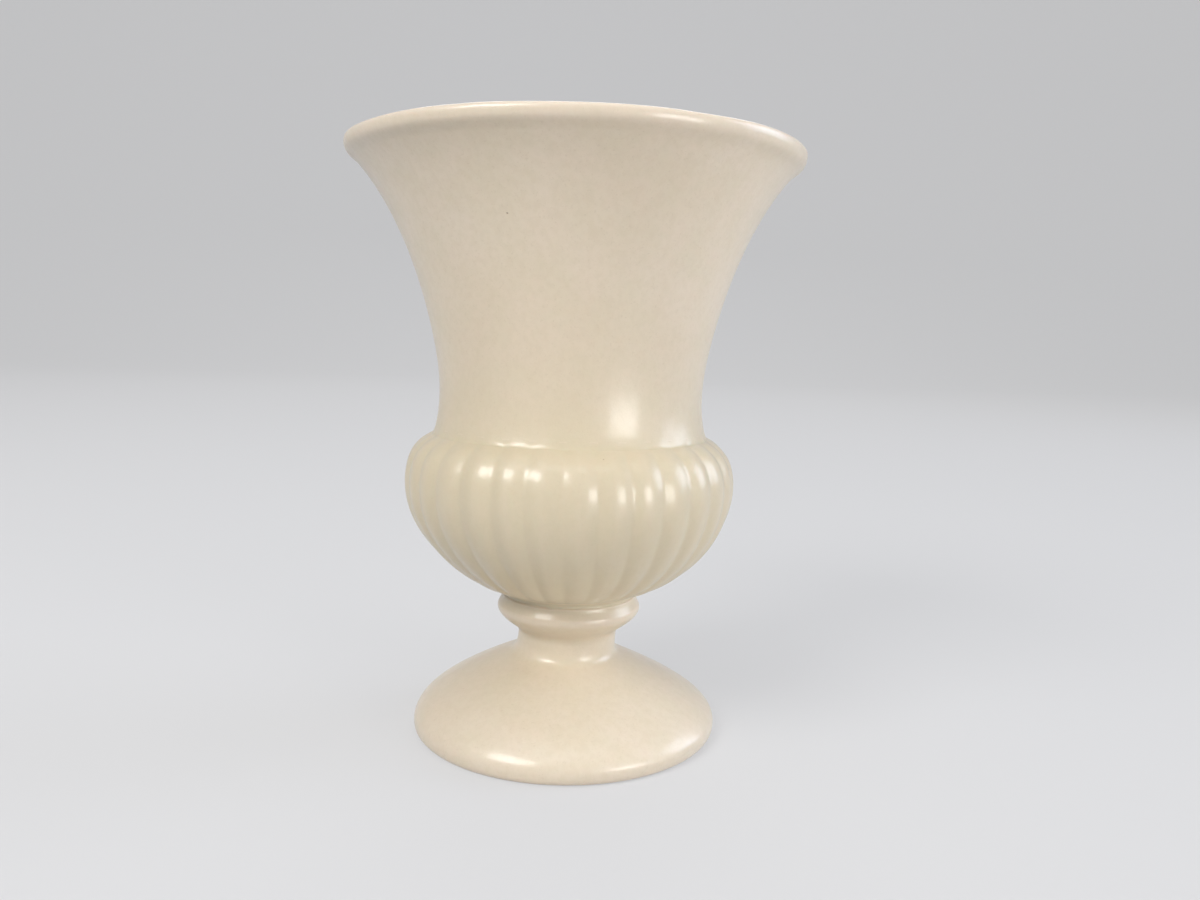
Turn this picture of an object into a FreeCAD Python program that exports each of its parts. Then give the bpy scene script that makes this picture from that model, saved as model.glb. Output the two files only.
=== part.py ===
import FreeCAD, Part
import Sketcher
import math
import os
from types import SimpleNamespace

# Urn vase on a pedestal: flared bell, gadrooned bowl, and a pedestal of knop, stem and domed foot.
# The origin is the centre of the foot ring, +Z is up and -Y is the front. Millimetres.

# Driving sizes. Each is written once here and goes to the document's sheet under its own alias.
SIZES = {
    # Whole vase
    "overall_height": 165.0,
    "slip_gap": 0.4,
    # Bell: the plain flaring neck with its rolled lip
    "rim_radius": 62.8,
    "waist_radius": 37.4,
    "bell_wall": 4.0,
    "lip_depth": 4.1,
    "lip_overhang": 1.5,
    "lip_thickness": 4.3,
    "lip_round": 1.3,
    # Shoulder seat, where the bell stands in the bowl's stepped mouth
    "shoulder_height": 87.2,
    "shoulder_radius": 38.5,
    "step_width": 2.0,
    "step_depth": 2.0,
    # Bowl: squat, with convex lobes from shoulder to base, widest at the belly below the shoulder
    "bowl_radius": 47.1,
    "belly_drop": 14.6,
    "bowl_wall": 4.8,
    "lobed_base_radius": 20.4,
    "groove_depth": 0.75,
    "bowl_floor": 5.0,
    # Bowl base, where the bowl sits on the pedestal
    "base_height": 40.0,
    "base_step": 1.2,
    "neck_radius": 19.0,
    "tenon_radius": 8.0,
    "tenon_depth": 3.0,
    # Pedestal, measured down from the bowl's base: knop, short stem, domed foot, hollow underneath
    "knop_radius": 20.7,
    "knop_drop": 4.4,
    "knop_depth": 10.2,
    "stem_radius": 14.35,
    "stem_length": 2.7,
    "foot_radius": 44.1,
    "foot_edge_height": 2.6,
    "foot_edge_round": 2.2,
    "foot_ring_width": 3.0,
    "foot_wall": 5.0,
    "socket_roof": 6.6,
    "hollow_round": 3.0,
}
COUNTS = {"lobe_count": 32}
ANGLES = {"first_groove_angle": -2.6}

# Control points of the bell's wall: radius share from waist to lip, height share from shoulder to lip,
# and how far the inner wall stands off it, as shares of the wall, inwards and upwards.
BELL_SHARES = [
    (-0.038, 0.11, 1.0, 0.0),
    (0.017, 0.352, 1.0, 0.15),
    (0.496, 0.808, 0.79, 0.61),
    (1.0, 1.0, 0.76, 0.65),
]
# Where the lip's outside turns upright, as a share of its depth, and where its inside turns level,
# as a share of its thickness.
LIP_CORNER_SHARE = 0.44
LIP_INSIDE_SHARE = 0.8
# Control points of the bowl: radius shares from base or shoulder to belly, height shares of each stretch.
BELLY_LOW_SHARES = [(0.0, 0.0), (0.431, 0.09), (1.0, 0.514), (1.0, 1.0)]
BELLY_TOP_SHARES = [(1.0, 0.0), (1.0, 0.53), (0.64, 0.77), (0.0, 1.0)]
# Control points of the bowl's inside: radius shares of its widest, height shares floor to belly to mouth.
BOWL_INSIDE_LOW_SHARES = [(1.0, 1.0), (1.0, 0.49), (0.71, 0.09), (0.28, 0.0)]
BOWL_INSIDE_TOP_SHARES = [(1.0, 0.45), (0.9, 0.78)]
# How far the solid base under the bowl reaches up into its floor, as a share of the floor.
BASE_REACH_SHARE = 0.5
# Where the bowl's cross-sections are taken along each stretch, and how deep the grooves are there.
LOW_STATION_SHARES = [(0.0, 0.5), (0.12, 0.65), (0.28, 0.85), (0.45, 1.0), (0.62, 1.0), (0.8, 1.0)]
TOP_STATION_SHARES = [(0.0, 1.0), (0.2, 1.0), (0.4, 1.0), (0.6, 0.95), (0.8, 0.85), (1.0, 0.6)]
# Control points of the foot's dome, the knop's underside and its top, as shares of their spans.
FOOT_DOME_SHARES = [(1.0, 0.13), (0.983, 0.316)]
COVE_START_SHARE = 0.93
KNOP_UNDER_SHARES = [(0.0, 0.41), (0.37, 0.58), (1.0, 0.85)]
KNOP_TOP_SHARES = [(1.0, 0.32), (0.6, 0.72)]
# Control points of the foot's hollow: radius shares from stem bore to foot ring, height shares of the dome.
HOLLOW_SHARES = [(0.97, 0.225), (0.49, 0.555), (0.0, 0.661), (0.0, 0.952)]

CURVE_DEGREE = 3
FULL_TURN = 360
ORIGIN_ID = -1
UPRIGHT_AXIS_ID = -2


class Length:
    """A length that knows its value in millimetres and the sheet expression that gives it."""

    def __init__(self, value, text):
        self.value = value
        self.text = text

    def __add__(self, other):
        return Length(self.value + other.value, f"({self.text} + {other.text})")

    def __sub__(self, other):
        return Length(self.value - other.value, f"({self.text} - {other.text})")

    def __mul__(self, share):
        return Length(self.value * share, f"({self.text} * {share})")


ZERO = Length(0.0, "0")


def fill_sheet(document):
    """Writes the driving values as plain numbers, one row each, and returns them as lengths."""
    sheet = document.addObject("Spreadsheet::Sheet", "sizes")
    values = {**SIZES, **COUNTS, **ANGLES}
    for row, (alias, value) in enumerate(values.items(), start=1):
        sheet.set(f"A{row}", alias)
        sheet.set(f"B{row}", str(value))
        sheet.setAlias(f"B{row}", alias)
    document.recompute()
    return SimpleNamespace(**{alias: Length(float(sheet.get(alias)), f"sizes.{alias}") for alias in values})


def between(start, end, share):
    """The length that lies the given share of the way from start to end."""
    return start + (end - start) * share


def blend_points(shares, radii, heights):
    """Control points from shares of a span of radii and a span of heights."""
    return [(between(*radii, across), between(*heights, up)) for across, up in shares]


def spline_through_poles(poles):
    """A clamped curve of at most third degree on its control points, which are vectors."""
    degree = min(CURVE_DEGREE, len(poles) - 1)
    spans = len(poles) - degree
    knots = [index / spans for index in range(spans + 1)]
    multiplicities = [degree + 1] + [1] * (spans - 1) + [degree + 1]
    curve = Part.BSplineCurve()
    curve.buildFromPolesMultsKnots(poles, multiplicities, knots, False, degree)
    return curve


def add_body(document, label):
    body = document.addObject("PartDesign::Body", label)
    body.Label = label
    return body


def add_sketch(body, name):
    """A sketch on the body's own upright XZ plane: across is radius, up is height."""
    sketch = body.newObject("Sketcher::SketchObject", name)
    plane = next(item for item in body.Origin.OriginFeatures if item.Role == "XZ_Plane")
    sketch.AttachmentSupport = [(plane, "")]
    sketch.MapMode = "FlatFace"
    return sketch


def place_point(sketch, geometry, position, point):
    """Ties one sketch point to its radius and height in the sheet."""
    across, up = point
    if across is ZERO:
        sketch.addConstraint(Sketcher.Constraint("PointOnObject", geometry, position, UPRIGHT_AXIS_ID))
    else:
        index = sketch.addConstraint(
            Sketcher.Constraint("DistanceX", ORIGIN_ID, 1, geometry, position, across.value))
        sketch.setExpression(f"Constraints[{index}]", across.text)
    if up is ZERO:
        sketch.addConstraint(Sketcher.Constraint("PointOnObject", geometry, position, ORIGIN_ID))
    else:
        index = sketch.addConstraint(
            Sketcher.Constraint("DistanceY", ORIGIN_ID, 1, geometry, position, up.value))
        sketch.setExpression(f"Constraints[{index}]", up.text)


def draw_outline(sketch, stretches):
    """Draws a closed outline: two points make a straight stretch, more make a curve on control points."""
    drawn = []
    for points in stretches:
        vectors = [FreeCAD.Vector(across.value, up.value, 0) for across, up in points]
        if len(points) == 2:
            drawn.append(sketch.addGeometry(Part.LineSegment(*vectors), False))
            continue
        curve = sketch.addGeometry(spline_through_poles(vectors), False)
        sketch.exposeInternalGeometry(curve)
        drawn.append(curve)
        for offset, point in enumerate(points[1:-1], start=2):
            place_point(sketch, curve + offset, 3, point)
    for geometry, following in zip(drawn, drawn[1:] + drawn[:1]):
        sketch.addConstraint(Sketcher.Constraint("Coincident", geometry, 2, following, 1))
    for geometry, points in zip(drawn, stretches):
        place_point(sketch, geometry, 1, points[0])


def turn(body, name, stretches, kind="PartDesign::Revolution"):
    """Turns an outline about the vase's axis, as a solid or as a cut."""
    sketch = add_sketch(body, f"{name}_outline")
    draw_outline(sketch, stretches)
    feature = body.newObject(kind, name)
    feature.Profile = sketch
    feature.ReferenceAxis = (sketch, ["V_Axis"])
    feature.Angle = FULL_TURN
    body.Tip = feature
    return feature


def straight_runs(corners):
    """Stretches that join the corners with straight lines."""
    return [[start, end] for start, end in zip(corners, corners[1:])]


def build_bell(document, size):
    """The flared neck: open at both ends, with a tongue below that drops into the bowl's stepped mouth."""
    seat_height = size.shoulder_height + size.slip_gap
    tongue_height = seat_height - size.step_depth
    tongue_radius = size.shoulder_radius - size.step_width - size.slip_gap
    mouth_radius = size.shoulder_radius - size.bell_wall
    lip_radius = size.rim_radius - size.lip_overhang
    lip_height = size.overall_height - size.lip_depth
    lip_top_radius = size.rim_radius - size.lip_round
    outside = [(size.shoulder_radius, seat_height)]
    inside = [(mouth_radius, seat_height)]
    for across, up, inwards, upwards in BELL_SHARES:
        radius = between(size.waist_radius, lip_radius, across)
        height = between(seat_height, lip_height, up)
        outside.append((radius, height))
        inside.append((radius - size.bell_wall * inwards, height + size.bell_wall * upwards))
    corner_height = between(lip_height, size.overall_height, LIP_CORNER_SHARE)
    equator = (size.rim_radius, size.overall_height - size.lip_round)
    crest = (lip_top_radius, size.overall_height)
    stretches = [
        outside,
        [outside[-1], (size.rim_radius, corner_height), equator],
        [equator, (size.rim_radius, size.overall_height), crest],
        [crest, (size.rim_radius - size.lip_thickness * LIP_INSIDE_SHARE, size.overall_height), inside[-1]],
        inside[::-1],
    ]
    stretches += straight_runs([
        inside[0],
        (mouth_radius, tongue_height),
        (tongue_radius, tongue_height),
        (tongue_radius, seat_height),
        outside[0],
    ])
    body = add_body(document, "bell")
    turn(body, "bell_wall_turned", stretches)
    return body


def lobed_section(radius, depth, height, size):
    """One level cross-section of the bowl: a ring of arcs that bulge between the grooves."""
    count = int(size.lobe_count.value)
    pitch = 2 * math.pi / count
    first = math.radians(size.first_groove_angle.value)

    def at(distance, steps):
        angle = first + steps * pitch
        return FreeCAD.Vector(distance * math.sin(angle), -distance * math.cos(angle), height)

    edges = []
    for lobe in range(count):
        groove = at(radius - depth, lobe)
        crest = at(radius, lobe + 0.5)
        next_groove = at(radius - depth, lobe + 1)
        edges.append(Part.Arc(groove, crest, next_groove).toShape())
    return Part.Wire(edges)


def bowl_blank(document, size):
    """The bowl's solid lobed body, lofted through level sections from its base to its shoulder."""
    belly_height = size.shoulder_height - size.belly_drop
    low_heights = (size.base_height + size.base_step, belly_height)
    low = blend_points(BELLY_LOW_SHARES, (size.lobed_base_radius, size.bowl_radius), low_heights)
    top_heights = (belly_height, size.shoulder_height)
    top = blend_points(BELLY_TOP_SHARES, (size.shoulder_radius, size.bowl_radius), top_heights)
    sections = []
    for points, stations in ((low, LOW_STATION_SHARES), (top, TOP_STATION_SHARES)):
        curve = spline_through_poles([FreeCAD.Vector(across.value, 0, up.value) for across, up in points])
        for along, depth_share in stations:
            point = curve.value(along)
            sections.append(lobed_section(point.x, size.groove_depth.value * depth_share, point.z, size))
    blank = document.addObject("Part::Feature", "lobed_blank")
    blank.Shape = Part.makeLoft(sections, True, False)
    blank.Placement = FreeCAD.Placement()
    return blank


def build_gadrooned_bowl(document, size):
    """The gadrooned bowl: lobed outside, smooth inside, stepped mouth above and tenon below."""
    body = add_body(document, "gadrooned_bowl")
    body.BaseFeature = bowl_blank(document, size)
    document.recompute()
    tenon_floor = size.base_height - size.tenon_depth
    base_top = size.base_height + size.base_step + size.bowl_floor * BASE_REACH_SHARE
    turn(body, "base_and_tenon", straight_runs([
        (ZERO, tenon_floor),
        (size.tenon_radius, tenon_floor),
        (size.tenon_radius, size.base_height),
        (size.neck_radius, size.base_height),
        (size.neck_radius, base_top),
        (ZERO, base_top),
        (ZERO, tenon_floor),
    ]))
    inner_radius = size.bowl_radius - size.bowl_wall
    belly_height = size.shoulder_height - size.belly_drop
    floor_height = size.base_height + size.bowl_floor
    mouth_radius = size.shoulder_radius - size.bell_wall
    step_radius = size.shoulder_radius - size.step_width
    step_height = size.shoulder_height - size.step_depth
    low_heights = (floor_height, belly_height)
    low = blend_points(BOWL_INSIDE_LOW_SHARES, (ZERO, inner_radius), low_heights)
    top_heights = (belly_height, step_height)
    top = blend_points(BOWL_INSIDE_TOP_SHARES, (mouth_radius, inner_radius), top_heights)
    above = size.overall_height
    stretches = [
        [(mouth_radius, step_height), *top[::-1], low[0]],
        low,
    ]
    stretches += straight_runs([
        low[-1],
        (ZERO, floor_height),
        (ZERO, above),
        (step_radius, above),
        (step_radius, step_height),
        (mouth_radius, step_height),
    ])
    turn(body, "inside", stretches, "PartDesign::Groove")
    return body


def build_pedestal(document, size):
    """Knop, stem and domed foot in one piece, hollow below, with a socket on top for the bowl's tenon."""
    top_height = size.base_height - size.slip_gap
    socket_radius = size.tenon_radius + size.slip_gap
    socket_floor = top_height - size.tenon_depth
    knop_height = size.base_height - size.knop_drop
    stem_height = knop_height - size.knop_depth
    cove_height = stem_height - size.stem_length
    hollow_height = socket_floor - size.socket_roof
    contact_radius = size.foot_radius - size.foot_edge_round
    ring_inside = contact_radius - size.foot_ring_width
    bore_radius = size.stem_radius - size.foot_wall
    edge = (size.foot_radius, size.foot_edge_height)
    dome = blend_points(
        FOOT_DOME_SHARES, (size.stem_radius, size.foot_radius), (size.foot_edge_height, cove_height))
    cove = (size.stem_radius, cove_height)
    cove_start = tuple(between(start, end, COVE_START_SHARE) for start, end in zip(dome[-1], cove))
    stem = (size.stem_radius, stem_height)
    under = blend_points(
        KNOP_UNDER_SHARES, (size.stem_radius, size.knop_radius), (stem_height, knop_height))
    knop = (size.knop_radius, knop_height)
    over = blend_points(KNOP_TOP_SHARES, (size.neck_radius, size.knop_radius), (knop_height, top_height))
    hollow = blend_points(HOLLOW_SHARES, (bore_radius, ring_inside), (ZERO, cove_height))
    bore_top = (bore_radius, hollow_height - size.hollow_round)
    roof = (bore_radius - size.hollow_round, hollow_height)
    stretches = [
        [(contact_radius, ZERO), (size.foot_radius, ZERO), edge],
        [edge, *dome, cove_start],
        [cove_start, cove, stem],
        [stem, *under, knop],
        [knop, *over, (size.neck_radius, top_height)],
    ]
    stretches += straight_runs([
        (size.neck_radius, top_height),
        (socket_radius, top_height),
        (socket_radius, socket_floor),
        (ZERO, socket_floor),
        (ZERO, hollow_height),
        roof,
    ])
    stretches += [
        [roof, (bore_radius, hollow_height), bore_top],
        [bore_top, hollow[-1]],
        [*hollow[::-1], (ring_inside, ZERO)],
        [(ring_inside, ZERO), (contact_radius, ZERO)],
    ]
    body = add_body(document, "pedestal")
    turn(body, "pedestal_turned", stretches)
    return body


def build_shoulder_slip_joint(document, size):
    """The layer of fired slip that fills the gap between the bell and the bowl's stepped mouth."""
    mouth_radius = size.shoulder_radius - size.bell_wall
    step_radius = size.shoulder_radius - size.step_width
    tongue_radius = step_radius - size.slip_gap
    step_height = size.shoulder_height - size.step_depth
    land_top = size.shoulder_height + size.slip_gap
    step_top = step_height + size.slip_gap
    body = add_body(document, "shoulder_slip_joint")
    turn(body, "shoulder_slip", straight_runs([
        (mouth_radius, step_height),
        (step_radius, step_height),
        (step_radius, size.shoulder_height),
        (size.shoulder_radius, size.shoulder_height),
        (size.shoulder_radius, land_top),
        (tongue_radius, land_top),
        (tongue_radius, step_top),
        (mouth_radius, step_top),
        (mouth_radius, step_height),
    ]))
    return body


def build_pedestal_slip_joint(document, size):
    """The cup-shaped layer of fired slip between the bowl's base and the pedestal's socket."""
    disc_floor = size.base_height - size.slip_gap
    socket_radius = size.tenon_radius + size.slip_gap
    socket_floor = disc_floor - size.tenon_depth
    tenon_floor = size.base_height - size.tenon_depth
    body = add_body(document, "pedestal_slip_joint")
    turn(body, "pedestal_slip", straight_runs([
        (ZERO, socket_floor),
        (socket_radius, socket_floor),
        (socket_radius, disc_floor),
        (size.neck_radius, disc_floor),
        (size.neck_radius, size.base_height),
        (size.tenon_radius, size.base_height),
        (size.tenon_radius, tenon_floor),
        (ZERO, tenon_floor),
        (ZERO, socket_floor),
    ]))
    return body


def check_document(document, pieces):
    """Stops if any object failed, or any piece is empty, invalid or not one solid."""
    for item in document.Objects:
        if {"Invalid", "Error"} & set(item.State):
            raise RuntimeError(f"{item.Label} failed: {item.State}")
    for piece in pieces:
        shape = piece.Shape
        if shape.isNull() or not shape.isValid() or len(shape.Solids) != 1:
            raise RuntimeError(f"{piece.Label} is not one valid solid")


def main():
    document = FreeCAD.newDocument("urn_vase")
    size = fill_sheet(document)
    builders = [
        build_pedestal,
        build_pedestal_slip_joint,
        build_gadrooned_bowl,
        build_shoulder_slip_joint,
        build_bell,
    ]
    pieces = [build(document, size) for build in builders]
    document.recompute()
    check_document(document, pieces)
    os.makedirs("parts", exist_ok=True)
    for piece in pieces:
        piece.Shape.exportStep(f"parts/{piece.Label}.step")
        print(piece.Label, f"{piece.Shape.Volume:.1f} mm3")


main()
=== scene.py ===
import math

import bpy
import numpy as np
from mathutils import Matrix, Vector


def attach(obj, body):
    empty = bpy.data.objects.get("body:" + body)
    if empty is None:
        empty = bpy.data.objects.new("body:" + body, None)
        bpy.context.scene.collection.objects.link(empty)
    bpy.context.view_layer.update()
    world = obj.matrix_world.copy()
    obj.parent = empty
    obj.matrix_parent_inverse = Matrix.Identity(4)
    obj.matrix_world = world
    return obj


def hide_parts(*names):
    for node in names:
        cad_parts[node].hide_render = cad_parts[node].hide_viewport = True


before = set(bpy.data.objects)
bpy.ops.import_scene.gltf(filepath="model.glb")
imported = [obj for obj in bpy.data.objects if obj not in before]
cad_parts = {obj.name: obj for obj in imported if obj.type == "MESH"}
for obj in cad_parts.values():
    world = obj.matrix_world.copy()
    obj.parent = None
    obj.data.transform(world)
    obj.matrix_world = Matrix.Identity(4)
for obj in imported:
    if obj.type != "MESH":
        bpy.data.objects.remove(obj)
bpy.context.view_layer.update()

# Urn vase in satin cream glaze: bell, gadrooned bowl, and a pedestal of knop, stem and domed foot.
# Outlines are in millimetres as (radius, height); meshes, lamps and camera are in metres.
# Azimuths are measured from the front, -Y, towards +X.

MM = 0.001
TINY = 1e-9
SHORTEST_MM = 1e-6

# Driving sizes, from the lip down.
HEIGHT = 165.0
LIP_RADIUS = 63.0
LIP_DROP = 1.5
BELL_WALL = 4.0
SHOULDER_HEIGHT = 87.2
SHOULDER_RADIUS = 38.5
STEP = 2.0
SLIP = 0.4
BELLY_HEIGHT = 72.6
BELLY_RADIUS = 47.1
BOWL_WALL = 4.8
BOWL_FLOOR = 5.0
BASE_HEIGHT = 40.0
NECK_RADIUS = 19.0
TENON_RADIUS = 8.0
TENON_DEPTH = 3.0
SOCKET_ROOF = 6.6
STEM_RADIUS = 14.35
FOOT_RADIUS = 44.1
FOOT_EDGE_HEIGHT = 2.6
FOOT_WALL = 5.0
FOOT_LIFT = 0.05
RING_RECESS = 0.4
RING_INNER_RADIUS = 39.05
RING_OUTER_RADIUS = 41.75

# The bell's tongue and the bowl's stepped mouth, with a bed of slip between them.
SEAT_HEIGHT = SHOULDER_HEIGHT + SLIP
STEP_HEIGHT = SHOULDER_HEIGHT - STEP
STEP_RADIUS = SHOULDER_RADIUS - STEP
TONGUE_HEIGHT = STEP_HEIGHT + SLIP
TONGUE_RADIUS = STEP_RADIUS - SLIP
THROAT_RADIUS = SHOULDER_RADIUS - BELL_WALL
BOWL_INSIDE = BELLY_RADIUS - BOWL_WALL

# The bowl's tenon and the pedestal's socket, with a bed of slip between them.
TENON_END = BASE_HEIGHT - TENON_DEPTH
SOCKET_TOP = BASE_HEIGHT - SLIP
SOCKET_FLOOR = TENON_END - SLIP
SOCKET_RADIUS = TENON_RADIUS + SLIP

# The casting isn't quite true: how far its axis wanders to the right, by height.
LEAN_HEIGHTS = [0, 5, 9.9, 14.8, 19.8, 24.7, 29.7, 35.5, 41.2, 47.8, 54.4, 62.7, 74.2, 87.4, 107.2, 132, 165]
LEAN_RIGHT = [0, 0.14, -0.52, -0.94, -0.94, 0.10, 0.46, 0.59, 0.59, 0.69, 0.53, 0.14, -0.01, -0.23, -0.13,
              -0.05, -0.16]

# Swellings round the vase: size, how many to a turn, where the first is, and its drift per millimetre up.
SWELLINGS = [(0.07, 2, 0.9, 1 / 60), (0.04, 3, -0.4, -1 / 35)]
SWELLING_RADIUS = 20
SWELLING_HEIGHT = 4

# The rim: its waves as size, how many to a turn and where the first is; a shallow rise across the front,
# this high, to this azimuth each way, with ends this soft; and its dip, by degrees from the front.
RIM_WAVES = [(0.13, 2, 0.6), (0.08, 5, 2.1), (0.05, 9, 0.3)]
RIM_RISE = 0.12
RIM_RISE_AZIMUTH = 0.4
RIM_RISE_SOFTNESS = 0.03
RIM_DIP_ANGLES = [0, 25, 40, 55, 90, 180]
RIM_DIPS = [1.02, 0.72, 0.52, 0.5, 0.15, 0]
RIM_STARTS = 150
RIM_BLEND = 12

# The hollow under the lip is a little fuller on the right: by how much, at what height and how broadly.
LIP_FILL = 0.42
LIP_FILL_HEIGHT = 160.4
LIP_FILL_BREADTH = 1.4
LIP_FILL_RADIUS = 58.5

# Gadroons: convex lobes between narrow soft grooves, by height as shares of the full depth.
LOBE_COUNT = 32
LOBE_PITCH = 2 * math.pi / LOBE_COUNT
FIRST_GROOVE = math.radians(-2.6)
GROOVE_DEPTH = 1.05
GROOVE_SOFTNESS = 0.2
GROOVE_DEPTH_HEIGHTS = [40.6, 41.6, 44.0, 50.0, 58.0, 78.0, 84.0, 87.2]
GROOVE_DEPTH_SHARES = [0.3, 0.55, 0.85, 1.1, 1.12, 1.0, 0.85, 0.5]

# No two grooves are quite alike: how far each stands from its place, and how deep it is.
random = np.random.default_rng(11)
GROOVE_SHIFTS = random.normal(0, math.radians(0.28), LOBE_COUNT)
GROOVE_STRENGTHS = 1 + random.normal(0, 0.07, LOBE_COUNT)

# How much darker and greener the glaze is made, by height: most on the bowl, partly the glaze's own settled
# tone and partly painted shade. It is also darkened where the outline is hollow, partly glaze pooling and
# partly painted shade in creases, and thins on edges and lobe crests. Bends are per millimetre.
POOLED_AND_SHADE_HEIGHTS = [0, 12, 24, 36, 41, 84, 90, 112, 165]
POOLED_AND_SHADE_SHARES = [0.0, 0.05, 0.15, 0.2, 0.6, 0.6, 0.42, 0.1, 0.0]
POOLED_AND_SHADE_HOLLOWS = 0.2
HOLLOW_BEND = 0.08
EDGE_BEND = 0.12
BEND_RANGE = 0.5
THIN_CRESTS = 0.25
CREST_POWER = 4

# Segments round the pieces, and the angle over which an edge is shaded sharp
SEGMENTS_PER_LOBE = 18
LOBED_SEGMENTS = LOBE_COUNT * SEGMENTS_PER_LOBE
PLAIN_SEGMENTS = 384
TRIM_SEGMENTS = 256
SLIP_SEGMENTS = 192
SHARP_ANGLE = math.radians(50)


def curve(poles, steps):
    """Even steps along a clamped curve of at most third degree on its control points.
    A control point is radius, height and, where it differs from 0, its share of the lobes' grooves."""
    poles = np.array([(*pole, 0)[:3] for pole in poles], float)
    degree = min(3, len(poles) - 1)
    spans = len(poles) - degree
    knots = np.concatenate([np.zeros(degree), np.linspace(0, 1, spans + 1), np.ones(degree)])
    t = np.linspace(0, 1, steps + 1)
    inside = np.minimum(t, 1 - TINY)
    basis = [((a <= inside) & (inside < b)).astype(float) for a, b in zip(knots, knots[1:])]
    for k in range(1, degree + 1):
        raised = []
        for i in range(len(basis) - 1):
            left, right = knots[i + k] - knots[i], knots[i + k + 1] - knots[i + 1]
            value = np.zeros_like(t)
            if left > 0:
                value = value + (t - knots[i]) / left * basis[i]
            if right > 0:
                value = value + (knots[i + k + 1] - t) / right * basis[i + 1]
            raised.append(value)
        basis = raised
    return np.array(basis).T @ poles


def outline(*stretches):
    """Joins stretches, each (control points, steps), into one list of points without repeats."""
    points = [curve(*stretches[0])]
    points += [curve(*stretch)[1:] for stretch in stretches[1:]]
    return np.concatenate(points)


def corners(*points):
    """Straight stretches from point to point."""
    return [([a, b], 1) for a, b in zip(points, points[1:])]


def smooth_table(places, values, at):
    """A smooth curve through a table: cubic between its entries, level at its ends."""
    x, y = np.array(places, float), np.array(values, float)
    slope = np.zeros_like(y)
    slope[1:-1] = (y[2:] - y[:-2]) / (x[2:] - x[:-2])
    at = np.clip(at, x[0], x[-1])
    i = np.clip(np.searchsorted(x, at, side="right") - 1, 0, len(x) - 2)
    step = x[i + 1] - x[i]
    t = (at - x[i]) / step
    return ((2 * t**3 - 3 * t**2 + 1) * y[i] + (t**3 - 2 * t**2 + t) * step * slope[i]
            + (3 * t**2 - 2 * t**3) * y[i + 1] + (t**3 - t**2) * step * slope[i + 1])


def bends(points):
    """How tightly a closed outline bends at each point, per millimetre: convex above zero, hollow below."""
    flat = points[:, :2]
    loop = flat if np.allclose(flat[0], flat[-1]) else np.concatenate([flat, flat[:1]])
    area = np.sum(loop[:-1, 0] * loop[1:, 1] - loop[1:, 0] * loop[:-1, 1]) / 2
    along = np.diff(loop, axis=0)
    length = np.maximum(np.hypot(*along.T), SHORTEST_MM)
    heading = np.arctan2(along[:, 1], along[:, 0])
    turn = (heading - np.roll(heading, 1) + math.pi) % (2 * math.pi) - math.pi
    bend = turn / ((length + np.roll(length, 1)) / 2) * math.copysign(1, area)
    return np.resize(bend, len(points))


def from_nearest_groove(azimuth):
    """0 at a groove and 1 at a crest, with the strength of the groove nearby."""
    lobe = np.floor((azimuth - FIRST_GROOVE) / LOBE_PITCH).astype(int)
    before = FIRST_GROOVE + lobe * LOBE_PITCH + GROOVE_SHIFTS[lobe % LOBE_COUNT]
    after = FIRST_GROOVE + (lobe + 1) * LOBE_PITCH + GROOVE_SHIFTS[(lobe + 1) % LOBE_COUNT]
    share = np.clip((azimuth - before) / (after - before), 0, 1)
    away = 1 - np.abs(2 * share - 1)
    nearer = np.where(share < 0.5, lobe, lobe + 1) % LOBE_COUNT
    return away, 1 + (GROOVE_STRENGTHS[nearer] - 1) * (1 - away)


def groove_inset(azimuth, height):
    """How deep the lobed surface lies below its crests."""
    away, strength = from_nearest_groove(azimuth)
    softened = np.sqrt(away**2 + GROOVE_SOFTNESS**2)
    depth = GROOVE_DEPTH * smooth_table(GROOVE_DEPTH_HEIGHTS, GROOVE_DEPTH_SHARES, height)
    return depth * strength * np.clip(1 - softened, 0, 1) ** 2


def hand_made_radius(radius, height, azimuth):
    """The radius with the swellings of a slip-cast piece and the fuller hollow under the lip."""
    swollen = sum(size * np.sin(count * azimuth + start + height * drift)
                  for size, count, start, drift in SWELLINGS)
    swollen = swollen * np.clip(radius / SWELLING_RADIUS, 0, 1) * np.clip(height / SWELLING_HEIGHT, 0, 1)
    radius = radius + swollen
    near = np.exp(-(((height - LIP_FILL_HEIGHT) / LIP_FILL_BREADTH) ** 2))
    on_right = np.clip(np.sin(azimuth), 0, 1)
    return radius + LIP_FILL * near * np.clip(radius - LIP_FILL_RADIUS, 0, 1) * on_right


def hand_made_height(height, azimuth):
    """The height with the rim's waves, its rise across the front and its dip."""
    front = (azimuth + math.pi) % (2 * math.pi) - math.pi
    wave = sum(size * np.sin(count * azimuth + start) for size, count, start in RIM_WAVES)
    rise = RIM_RISE / 2 * (np.tanh((front + RIM_RISE_AZIMUTH) / RIM_RISE_SOFTNESS)
                           - np.tanh((front - RIM_RISE_AZIMUTH) / RIM_RISE_SOFTNESS))
    dip = smooth_table(RIM_DIP_ANGLES, RIM_DIPS, np.degrees(np.abs(front)))
    return height + (wave + rise - dip) * np.clip((height - RIM_STARTS) / RIM_BLEND, 0, 1) ** 2


def hand_made(radius, height, azimuth):
    """Places points of a turned form, with the slight lean and unevenness of a slip-cast piece."""
    radius = hand_made_radius(radius, height, azimuth)
    height = hand_made_height(height, azimuth)
    x = radius * np.sin(azimuth) + smooth_table(LEAN_HEIGHTS, LEAN_RIGHT, height)
    return np.stack([x, -radius * np.cos(azimuth), height], -1) * MM


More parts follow.
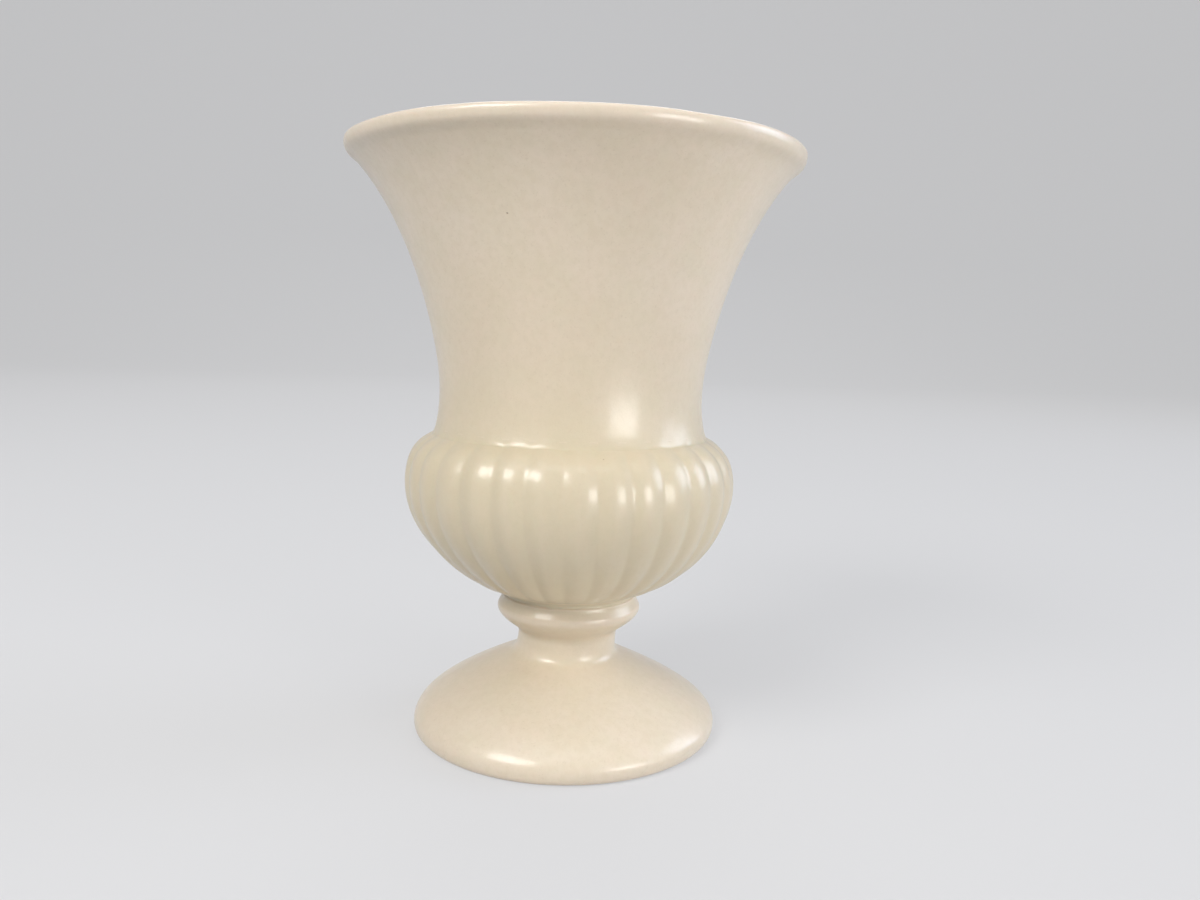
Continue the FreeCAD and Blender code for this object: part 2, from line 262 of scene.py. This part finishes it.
def glaze_marks(azimuth, height, lobed, bend):
    """How far the glaze is thin, and how far it is thick and darkened, partly as painted shade, at each
    point.
    """
    away, _ = from_nearest_groove(azimuth)
    thin = np.clip((bend - EDGE_BEND) / BEND_RANGE, 0, 1) + THIN_CRESTS * lobed * away**CREST_POWER
    hollow = np.clip((-bend - HOLLOW_BEND) / BEND_RANGE, 0, 1)
    return thin, smooth_table(POOLED_AND_SHADE_HEIGHTS, POOLED_AND_SHADE_SHARES, height) + POOLED_AND_SHADE_HOLLOWS * hollow


def turned(name, points, segments):
    """A closed turned mesh. points run from axis to axis, or round a ring whose last point is its first."""
    on_axis = points[0][0] < TINY
    chosen = slice(1, -1) if on_axis else slice(0, -1)
    rows, bend = points[chosen], bends(points)[chosen]
    around = np.repeat((np.arange(segments) * 2 * math.pi / segments)[None], len(rows), 0)
    radius, height, lobed = (np.repeat(rows[:, k:k + 1], segments, 1) for k in range(3))
    vertices = hand_made(radius - lobed * groove_inset(around, height), height, around).reshape(-1, 3)
    marks = [mark.reshape(-1) for mark in glaze_marks(around, height, lobed, bend[:, None])]
    here = np.arange(segments)
    there = np.roll(here, -1)
    below = np.arange(len(rows) - (1 if on_axis else 0))[:, None] * segments
    above = (below + segments) % (len(rows) * segments)
    quads = np.stack([below + here, below + there, above + there, above + here], -1).reshape(-1, 4)
    a, b, c, d = (vertices[quads[:, k]] for k in range(4))
    inside_out = np.sum(a * np.cross(b, c)) + np.sum(a * np.cross(c, d)) < 0
    faces = quads.tolist()
    if on_axis:
        tips = [hand_made(np.zeros(1), points[k][1:2], np.zeros(1)) for k in (0, -1)]
        first, last = len(vertices), len(vertices) + 1
        final = (len(rows) - 1) * segments
        vertices = np.concatenate([vertices, *tips])
        faces += [[first, j, i] for i, j in zip(here.tolist(), there.tolist())]
        faces += [[last, final + i, final + j] for i, j in zip(here.tolist(), there.tolist())]
        marks = [np.concatenate([mark, [0, 0]]) for mark in marks]
    if inside_out:
        faces = [face[::-1] for face in faces]
    mesh = bpy.data.meshes.new(name)
    mesh.from_pydata(vertices.tolist(), [], faces)
    for label, mark in zip(("thin", "pooled_and_shade"), marks):
        mesh.attributes.new(label, "FLOAT", "POINT").data.foreach_set("value", np.clip(mark, 0, 1))
    mesh.shade_smooth()
    mesh.set_sharp_from_angle(angle=SHARP_ANGLE)
    piece = bpy.data.objects.new(name, mesh)
    bpy.context.scene.collection.objects.link(piece)
    return piece


def make_bell():
    """The plain flaring neck with its rolled lip, and the tongue that stands in the bowl's mouth."""
    seat = (SHOULDER_RADIUS, SEAT_HEIGHT)
    flare = [(36.5, 95.7), (37.8, 113.4), (49.25, 146.8)]
    flare_end = (59.75, 159.1)
    under_lip = [(60.45, 159.95), (61.85, 160.75), (LIP_RADIUS, 162.2)]
    lip_side = (LIP_RADIUS, HEIGHT - LIP_DROP)
    lip_shoulder = (LIP_RADIUS, 164.95)
    lip_top = (61.3, HEIGHT)
    lip_corner = (59.3, HEIGHT)
    lip_inside = (58.26, HEIGHT - LIP_DROP)
    inside = [(46.1, 149.2), (33.8, 114.0), (32.5, 95.7)]
    throat = (THROAT_RADIUS, SEAT_HEIGHT)
    return turned("bell_glazed", outline(
        ([seat, *flare, flare_end], 110),
        ([flare_end, *under_lip, lip_side], 26),
        ([lip_side, lip_shoulder, lip_top], 10),
        ([lip_top, lip_corner, lip_inside], 8),
        ([lip_inside, *inside, throat], 70),
        *corners(throat, (THROAT_RADIUS, TONGUE_HEIGHT), (TONGUE_RADIUS, TONGUE_HEIGHT),
                 (TONGUE_RADIUS, SEAT_HEIGHT), seat),
    ), PLAIN_SEGMENTS)


def make_bowl():
    """The squat bowl with its lobes, stepped mouth, closed floor and the tenon below."""
    base_edge = (NECK_RADIUS, 40.5)
    base_corner = (NECK_RADIUS, 40.85)
    base_lip = (19.4, 40.85)
    lobe_root = (20.5, 40.85, 0.4)
    lobes_start = (20.9, 41.4, 1)
    low = [(32.2, 44.1, 1), (BELLY_RADIUS, 57.3, 1)]
    belly = (BELLY_RADIUS, BELLY_HEIGHT, 1)
    high = [(BELLY_RADIUS, 80.3, 1), (43.9, 83.9, 1)]
    lobes_end = (38.9, 86.1, 1)
    mouth = (THROAT_RADIUS, STEP_HEIGHT)
    inside_high = [(41.5, 82.4), (BOWL_INSIDE, 78.3)]
    inner_belly = (BOWL_INSIDE, BELLY_HEIGHT)
    inside_low = [(BOWL_INSIDE, 58.5), (30, 47.5)]
    floor_edge = (11.8, BASE_HEIGHT + BOWL_FLOOR)
    return turned("bowl_glazed", outline(
        *corners((0, TENON_END), (TENON_RADIUS, TENON_END), (TENON_RADIUS, BASE_HEIGHT),
                 (NECK_RADIUS, BASE_HEIGHT), base_edge),
        ([base_edge, base_corner, base_lip], 4),
        ([base_lip, lobe_root, lobes_start], 6),
        ([lobes_start, *low, belly], 72),
        ([belly, *high, lobes_end], 40),
        *corners(lobes_end, (SHOULDER_RADIUS, SHOULDER_HEIGHT), (STEP_RADIUS, SHOULDER_HEIGHT),
                 (STEP_RADIUS, STEP_HEIGHT), mouth),
        ([mouth, *inside_high, inner_belly], 14),
        ([inner_belly, *inside_low, floor_edge], 24),
        ([floor_edge, (0, BASE_HEIGHT + BOWL_FLOOR)], 3),
    ), LOBED_SEGMENTS)


def make_pedestal():
    """Knop, short stem and domed foot, hollow underneath, with the bowl's socket on top."""
    top_edge = (18.9, SOCKET_TOP)
    top_corner = (19.5, SOCKET_TOP)
    knop_brow = (19.62, 38.9)
    brow = [(19.75, 38.15), (20.15, 37.45)]
    knop_upper = (20.55, 36.7)
    knop = [(20.95, 35.95), (20.95, 35.15)]
    knop_lower = (20.5, 34.4)
    neck = [(19.7, 33.05), (16.4, 30.6), (STEM_RADIUS, 29.3)]
    stem = (STEM_RADIUS, 27.2)
    cove = [(STEM_RADIUS, 24.2), (15.1, 21.9), (17.3, 21.0)]
    cove_end = (20.6, 19.7)
    dome = [(43.65, 8.54), (FOOT_RADIUS, 5.06)]
    foot_side = (FOOT_RADIUS, FOOT_EDGE_HEIGHT)
    foot_under = (41.95, FOOT_LIFT)
    recess_outer = (41.7, RING_RECESS)
    recess_inner = (39.1, RING_RECESS)
    hollow_edge = (38.74, 0.6)
    bore_radius = STEM_RADIUS - FOOT_WALL
    bore_roof = SOCKET_FLOOR - SOCKET_ROOF
    bore_round = 3.0
    hollow = [(38.0, 5.1), (23.9, 12.6), (bore_radius, 15.0)]
    bore = (bore_radius, 21.6)
    bore_side = (bore_radius, bore_roof - bore_round)
    bore_top = (bore_radius - bore_round, bore_roof)
    return turned("pedestal_glazed", outline(
        *corners((0, SOCKET_FLOOR), (SOCKET_RADIUS, SOCKET_FLOOR), (SOCKET_RADIUS, SOCKET_TOP), top_edge),
        ([top_edge, top_corner, knop_brow], 10),
        ([knop_brow, *brow, knop_upper], 14),
        ([knop_upper, *knop, knop_lower], 18),
        ([knop_lower, *neck, stem], 44),
        ([stem, *cove, cove_end], 34),
        ([cove_end, *dome, foot_side], 60),
        ([foot_side, (FOOT_RADIUS, FOOT_LIFT), foot_under], 12),
        ([foot_under, (41.9, 0.2), recess_outer], 3),
        *corners(recess_outer, recess_inner),
        ([recess_inner, (38.9, 0.1), hollow_edge], 4),
        ([hollow_edge, *hollow, bore], 40),
        ([bore, bore_side], 4),
        ([bore_side, (bore_radius, bore_roof), bore_top], 8),
        ([bore_top, (0, bore_roof)], 4),
    ), PLAIN_SEGMENTS)


def make_shoulder_slip():
    """The stepped ring of slip between the bowl's mouth and the bell's tongue."""
    start = (THROAT_RADIUS, STEP_HEIGHT)
    return turned("shoulder_slip", outline(*corners(
        start, (STEP_RADIUS, STEP_HEIGHT), (STEP_RADIUS, SHOULDER_HEIGHT), (SHOULDER_RADIUS, SHOULDER_HEIGHT),
        (SHOULDER_RADIUS, SEAT_HEIGHT), (TONGUE_RADIUS, SEAT_HEIGHT), (TONGUE_RADIUS, TONGUE_HEIGHT),
        (THROAT_RADIUS, TONGUE_HEIGHT), start)), SLIP_SEGMENTS)


def make_pedestal_slip():
    """The cup of slip round the bowl's tenon."""
    return turned("pedestal_slip", outline(*corners(
        (0, SOCKET_FLOOR), (SOCKET_RADIUS, SOCKET_FLOOR), (SOCKET_RADIUS, SOCKET_TOP),
        (NECK_RADIUS, SOCKET_TOP), (NECK_RADIUS, BASE_HEIGHT), (TENON_RADIUS, BASE_HEIGHT),
        (TENON_RADIUS, TENON_END), (0, TENON_END))), SLIP_SEGMENTS)


def make_shoulder_fillet():
    """The glaze that has run into the crease above the lobes."""
    low, high = (42.3, 84.12, 1), (37.9, 90.0)
    face = [(41.0, 84.98, 1), (39.75, 85.5, 0.9), (38.8, 86.4, 0.4), (38.4, 88.1)]
    buried_bell = [(37.3, 89.8), (37.6, 87.4)]
    buried_corner, buried_bowl = (37.6, 85.7, 1), (41.9, 83.6, 1)
    return turned("shoulder_glaze_fillet", outline(
        ([low, *face, high], 32),
        *corners(high, *buried_bell, buried_corner),
        ([buried_corner, buried_bowl], 3),
        ([buried_bowl, low], 1),
    ), LOBED_SEGMENTS)


def make_inner_joint():
    """The glaze over the same joint inside."""
    high, low = (34.2, 89.9), (36.9, 84.3)
    face = [(33.9, 88.2), (33.9, 85.5), (34.5, 84.6)]
    buried = [(36.6, 84.9), (35.3, 86.4), (34.9, 89.6)]
    return turned("inner_joint_glaze", outline(
        ([high, *face, low], 24),
        *corners(low, *buried, high),
    ), TRIM_SEGMENTS)


def make_base_bead():
    """The bead of glaze between the knop and the bowl's base."""
    low, high = (19.2, 39.5), (19.85, 40.9)
    face = (NECK_RADIUS, 40.15)
    buried = [(18.7, 40.9), (18.7, 39.5)]
    return turned("base_glaze_bead", outline(
        ([low, face, high], 10),
        *corners(high, *buried, low),
    ), TRIM_SEGMENTS)


def make_foot_ring():
    """The flat ring of bare clay that the vase stands on."""
    edge, bevel = 0.3, 0.1
    inner, outer = (RING_INNER_RADIUS, edge), (RING_OUTER_RADIUS, edge)
    flat_inner, flat_outer = (RING_INNER_RADIUS + edge, 0), (RING_OUTER_RADIUS - edge, 0)
    return turned("bare_foot_ring", outline(
        ([inner, (RING_INNER_RADIUS, 0), flat_inner], 4),
        ([flat_inner, flat_outer], 4),
        ([flat_outer, (RING_OUTER_RADIUS, 0), outer], 4),
        *corners(outer, (RING_OUTER_RADIUS - bevel, RING_RECESS), (RING_INNER_RADIUS + bevel, RING_RECESS),
                 inner),
    ), TRIM_SEGMENTS)


# Noises of the surfaces: scale per metre, detail and roughness.
DRIFT_NOISE = (13, 3, 0.55)
SHEEN_NOISE = (240, 3, 0.6)
PEEL_NOISE = (650, 3, 0.55)
GRAIN_NOISE = (2600, 2, 0.6)
TOOTH_NOISE = (1500, 4, 0.7)

# Bumps of the surfaces: strength and depth in millimetres.
PEEL_BUMP = (0.35, 0.08)
GRAIN_BUMP = (0.3, 0.04)
PIT_BUMP = (0.8, 0.15)
TOOTH_BUMP = (0.5, 0.1)

# The glaze: its two tones and where one fades into the other, and its roughness from smooth to rough.
GLAZE_TONES = ((223, 207, 185), (226, 212, 192))
DRIFT_FADE = (0.35, 0.65)
SHEEN_FADE = (0.3, 0.7)
GLAZE_ROUGHNESS = (0.32, 0.42)
# Cloud, mottle and speckle of the glaze: noise, where it fades in, strength and tint.
GLAZE_LAYERS = [
    ((95, 4, 0.6), (0.3, 0.7), 0.38, (215, 204, 177)),
    ((520, 3, 0.65), (0.35, 0.7), 0.22, (206, 190, 163)),
    ((1700, 2, 0.6), (0.58, 0.72), 0.2, (190, 172, 146)),
]
# Thick glaze darkened partly as painted shade, and thin glaze: the mesh's mark, strength and tint.
GLAZE_MARKS = [("pooled_and_shade", 0.9, (203, 191, 159)), ("thin", 0.3, (234, 217, 200))]
# Pin-holes in the glaze, in millimetres.
PINHOLES = [(-16.1, -46.3, 142.1), (8.2, -41.4, 84.2)]
PINHOLE_RADIUS = 0.3
PINHOLE_STRENGTH = 0.6
PINHOLE_TONE = (140, 116, 92)

# Grit and stain of fired clay: noise, where it fades in and strength. Tones are pale and dark.
CLAY_LAYERS = [((1300, 4, 0.7), (0.38, 0.66), 0.55), ((60, 3, 0.6), (0.35, 0.7), 0.3)]
SLIP_TONES = ((212, 198, 172), (184, 168, 140))
SLIP_ROUGHNESS = 0.75
CLAY_TONES = ((222, 208, 182), (190, 172, 142))
CLAY_ROUGHNESS = 0.88


class Nodes:
    """A material's or world's node tree, built with short calls that return sockets."""

    def __init__(self, owner, shader="Principled BSDF"):
        owner.use_nodes = True
        self.tree = owner.node_tree
        self.shader = self.tree.nodes[shader]

    def add(self, kind, inputs, output=0, **settings):
        made = self.tree.nodes.new(kind)
        for key, value in settings.items():
            setattr(made, key, value)
        for key, value in inputs.items():
            if isinstance(value, bpy.types.NodeSocket):
                self.tree.links.new(value, made.inputs[key])
            else:
                made.inputs[key].default_value = value
        return made.outputs[output]

    def place(self):
        return self.add("ShaderNodeTexCoord", {}, "Object")

    def noise(self, scale, detail, rough):
        return self.add("ShaderNodeTexNoise", {
            "Vector": self.place(), "Scale": scale, "Detail": detail, "Roughness": rough})

    def ramp(self, value, low, high, to_low=0.0, to_high=1.0):
        return self.add("ShaderNodeMapRange", {
            "Value": value, "From Min": low, "From Max": high, "To Min": to_low, "To Max": to_high},
            clamp=True, interpolation_type="SMOOTHSTEP")

    def mark(self, name):
        return self.add("ShaderNodeAttribute", {}, "Fac", attribute_name=name)

    def math(self, operation, a, b):
        return self.add("ShaderNodeMath", {0: a, 1: b}, operation=operation)

    def tinted(self, base, share, strength, tint):
        """base with some of tint over it, by share times strength."""
        factor = self.math("MULTIPLY", share, strength)
        return self.mix(factor, base, tint)

    def mix(self, share, a, b):
        return self.add("ShaderNodeMix", {"Factor": share, 6: a, 7: b}, 2, data_type="RGBA")

    def bump(self, strength, depth_mm, height, over=None, invert=False):
        inputs = {"Strength": strength, "Distance": depth_mm * MM, "Height": height}
        if over:
            inputs["Normal"] = over
        return self.add("ShaderNodeBump", inputs, "Normal", invert=invert)

    def near(self, point_mm, radius_mm):
        """1 within a small spot round a point, fading to 0 at its edge."""
        point = [value * MM for value in point_mm]
        away = self.add("ShaderNodeVectorMath", {0: self.place(), 1: point}, "Value", operation="DISTANCE")
        return self.ramp(away, radius_mm / 2 * MM, radius_mm * MM, 1.0, 0.0)

    def seen(self):
        """1 for what the camera sees, straight, in gloss or through glass, and 0 for the light given off."""
        path = self.tree.nodes.new("ShaderNodeLightPath").outputs
        return self.math("MAXIMUM", path["Is Camera Ray"],
                         self.math("MAXIMUM", path["Is Glossy Ray"], path["Is Transmission Ray"]))

    def link(self, socket, name):
        self.tree.links.new(socket, self.shader.inputs[name])

    def set(self, values):
        for name, value in values.items():
            self.shader.inputs[name].default_value = value


def colour(red, green, blue):
    """A colour written as it looks on screen, 0 to 255, as the shader's linear values."""
    shares = [value / 255 for value in (red, green, blue)]
    linear = [v / 12.92 if v <= 0.04045 else ((v + 0.055) / 1.055) ** 2.4 for v in shares]
    return (*linear, 1.0)


def satin_glaze(name):
    """Satin cream glaze: drifting tone, thin and paler on edges, darker on the bowl and in hollows (settled
    glaze and painted shade), faint orange peel.
    """
    material = bpy.data.materials.new(name)
    nodes = Nodes(material)
    drift = nodes.ramp(nodes.noise(*DRIFT_NOISE), *DRIFT_FADE)
    base = nodes.mix(drift, *(colour(*tone) for tone in GLAZE_TONES))
    for noise, fade, strength, tint in GLAZE_LAYERS:
        base = nodes.tinted(base, nodes.ramp(nodes.noise(*noise), *fade), strength, colour(*tint))
    # The darker mark on the bowl and in hollow creases is partly the glaze's own tone and partly painted
    # shade.
    for mark, strength, tint in GLAZE_MARKS:
        base = nodes.tinted(base, nodes.mark(mark), strength, colour(*tint))
    pit = nodes.near(PINHOLES[0], PINHOLE_RADIUS)
    for place in PINHOLES[1:]:
        pit = nodes.math("MAXIMUM", pit, nodes.near(place, PINHOLE_RADIUS))
    nodes.link(nodes.tinted(base, pit, PINHOLE_STRENGTH, colour(*PINHOLE_TONE)), "Base Color")
    nodes.link(nodes.ramp(nodes.noise(*SHEEN_NOISE), *SHEEN_FADE, *GLAZE_ROUGHNESS), "Roughness")
    peel = nodes.bump(*PEEL_BUMP, nodes.noise(*PEEL_NOISE))
    grain = nodes.bump(*GRAIN_BUMP, nodes.noise(*GRAIN_NOISE), over=peel)
    nodes.link(grain, "Coat Normal")
    nodes.link(nodes.bump(*PIT_BUMP, pit, over=grain, invert=True), "Normal")
    nodes.set({"Coat Weight": 0.4, "Coat Roughness": 0.13, "Coat IOR": 1.5, "Subsurface Weight": 0.05,
               "Subsurface Scale": 0.002})
    return material


def fired_clay(name, tones, roughness):
    """Bare fired clay or slip: matt, with a fine sandy tooth."""
    material = bpy.data.materials.new(name)
    nodes = Nodes(material)
    base, dark = (colour(*tone) for tone in tones)
    for noise, fade, strength in CLAY_LAYERS:
        base = nodes.tinted(base, nodes.ramp(nodes.noise(*noise), *fade), strength, dark)
    nodes.link(base, "Base Color")
    nodes.link(nodes.bump(*TOOTH_BUMP, nodes.noise(*TOOTH_NOISE)), "Normal")
    nodes.set({"Roughness": roughness})
    return material


bell = make_bell()
bowl = make_bowl()
pedestal = make_pedestal()
shoulder_slip = make_shoulder_slip()
pedestal_slip = make_pedestal_slip()
shoulder_fillet = make_shoulder_fillet()
inner_joint = make_inner_joint()
base_bead = make_base_bead()
foot_ring = make_foot_ring()

glaze = satin_glaze("cream_satin_glaze")
slip = fired_clay("fired_cream_slip", SLIP_TONES, SLIP_ROUGHNESS)
clay = fired_clay("bare_fired_clay", CLAY_TONES, CLAY_ROUGHNESS)

for piece, material, slot_name in (
    (bell, glaze, "cream_glaze"),
    (bowl, glaze, "cream_glaze"),
    (pedestal, glaze, "cream_glaze"),
    (shoulder_fillet, glaze, "cream_glaze"),
    (inner_joint, glaze, "cream_glaze"),
    (base_bead, glaze, "cream_glaze"),
    (shoulder_slip, slip, "fired_slip"),
    (pedestal_slip, slip, "fired_slip"),
    (foot_ring, clay, "bare_clay"),
):
    piece.data.materials.append(material)
    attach(piece, "root")

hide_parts("bell")
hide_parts("gadrooned_bowl")
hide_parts("pedestal")
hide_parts("shoulder_slip_joint")
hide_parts("pedestal_slip_joint")

# Floor and backdrop, in metres: how far the floor reaches, the radius of the sweep and the wall's height.
# What the camera sees of it is half lit and half given.
FLOOR_HALF_WIDTH = 4.0
FLOOR_FRONT = -4.0
FLOOR_BACK = 3.0
SWEEP_RADIUS = 1.0
SWEEP_POINTS = 24
WALL_HEIGHT = 5.0
FLOOR_TONE = (192, 192, 194)
FLOOR_GIVEN_TONE = (246, 246, 247)
FLOOR_GIVEN_SHARE = 0.5

# Lamps: name, azimuth and elevation, distance, width, height, watts, tint and spread. All of them face
# the middle of the vase. Angles are in degrees and sizes in metres.
LAMPS = [
    ("window_right", 45, 4.9, 0.8, 0.34, 0.28, 0.9, (1.0, 0.985, 0.97), 110),
    ("window_left", -44, 38, 1.3, 0.62, 0.48, 10.7, (1.0, 0.99, 0.97), 180),
    ("cool_side", 100, 20, 2.4, 1.35, 1.35, 5.3, (0.76, 0.84, 1.0), 80),
    ("overhead", 0, 78, 1.8, 1.4, 1.4, 6.8, (1, 1, 1), 180),
    ("back_fill", 178, 38, 2.4, 1.6, 1.2, 10, (1, 1, 1), 180),
]
LAMP_TARGET = Vector((0, 0, 0.078))

# The room's light, and how bright it looks where the camera sees it.
ROOM_LIGHT = 0.3
ROOM_SEEN = 0.75
ROOM_TONE = (232, 234, 238)

# The photograph's camera, from the vase's silhouette: turned, tipped and rolled by these angles.
PIXELS_WIDE = 1200
FOCAL_PIXELS = 960.0
SENSOR = 36.0
CLIP_START = 0.01
CAMERA_DISTANCE, CAMERA_HEIGHT = 1.6714 * HEIGHT * MM, 0.6954 * HEIGHT * MM
YAW, PITCH_DOWN, ROLL = (math.radians(angle) for angle in (1.772, 6.885, 1.647))


def plain_floor():
    """A pale floor that curves up into a backdrop far behind the vase."""
    sweep_start = FLOOR_BACK - SWEEP_RADIUS
    line = [(FLOOR_FRONT, 0.0)]
    line += [(sweep_start + SWEEP_RADIUS * math.sin(angle), SWEEP_RADIUS - SWEEP_RADIUS * math.cos(angle))
             for angle in np.linspace(0, math.pi / 2, SWEEP_POINTS)]
    line.append((FLOOR_BACK, WALL_HEIGHT))
    vertices = [(x, y, z) for y, z in line for x in (-FLOOR_HALF_WIDTH, FLOOR_HALF_WIDTH)]
    faces = [(2 * i, 2 * i + 1, 2 * i + 3, 2 * i + 2) for i in range(len(line) - 1)]
    mesh = bpy.data.meshes.new("plain_floor")
    mesh.from_pydata(vertices, [], faces)
    mesh.shade_smooth()
    floor = bpy.data.objects.new("plain_floor", mesh)
    bpy.context.scene.collection.objects.link(floor)
    material = bpy.data.materials.new("pale_floor")
    nodes = Nodes(material)
    nodes.set({"Base Color": colour(*FLOOR_TONE), "Roughness": 0.8, "Specular IOR Level": 0.2})
    given = nodes.add("ShaderNodeEmission", {"Color": colour(*FLOOR_GIVEN_TONE)})
    share = nodes.math("MULTIPLY", nodes.seen(), FLOOR_GIVEN_SHARE)
    lifted = nodes.add("ShaderNodeMixShader", {0: share, 1: nodes.shader.outputs[0], 2: given})
    nodes.tree.links.new(lifted, nodes.tree.nodes["Material Output"].inputs["Surface"])
    floor.data.materials.append(material)


def soft_lamp(name, azimuth, elevation, distance, width, height, watts, tint, spread):
    """A soft rectangular lamp that faces the middle of the vase."""
    lamp = bpy.data.lights.new(name, "AREA")
    lamp.shape = "RECTANGLE"
    lamp.size, lamp.size_y = width, height
    lamp.energy = watts
    lamp.color = tint
    lamp.spread = math.radians(spread)
    made = bpy.data.objects.new(name, lamp)
    a, e = math.radians(azimuth), math.radians(elevation)
    way = Vector((math.sin(a) * math.cos(e), -math.cos(a) * math.cos(e), math.sin(e)))
    made.location = LAMP_TARGET + way * distance
    made.visible_camera = False
    made.rotation_euler = way.to_track_quat("Z", "Y").to_euler()
    bpy.context.scene.collection.objects.link(made)


def pale_room():
    """An even pale world."""
    world = bpy.data.worlds.new("soft_room")
    bpy.context.scene.world = world
    nodes = Nodes(world, "Background")
    nodes.set({"Color": colour(*ROOM_TONE)})
    nodes.link(nodes.ramp(nodes.seen(), 0, 1, ROOM_LIGHT, ROOM_SEEN), "Strength")


def photo_camera():
    """The camera at the photograph's place and angle."""
    turn = Matrix.Rotation(YAW, 3, "Z")
    look = Matrix(((1, 0, 0), (0, 0, -1), (0, 1, 0)))
    tip = Matrix.Rotation(PITCH_DOWN, 3, "X")
    spin = Matrix.Rotation(ROLL, 3, "Z")
    right, down, ahead = spin @ tip @ look @ turn
    data = bpy.data.cameras.new("photo_camera")
    data.sensor_width = SENSOR
    data.lens = FOCAL_PIXELS / PIXELS_WIDE * SENSOR
    data.clip_start = CLIP_START
    camera = bpy.data.objects.new("photo_camera", data)
    bpy.context.scene.collection.objects.link(camera)
    axes = Matrix((right, -down, -ahead)).transposed()
    camera.matrix_world = Matrix.Translation((0, -CAMERA_DISTANCE, CAMERA_HEIGHT)) @ axes.to_4x4()
    bpy.context.scene.camera = camera


plain_floor()
for lamp_values in LAMPS:
    soft_lamp(*lamp_values)
pale_room()
photo_camera()

bpy.context.scene.view_settings.view_transform = "Standard"
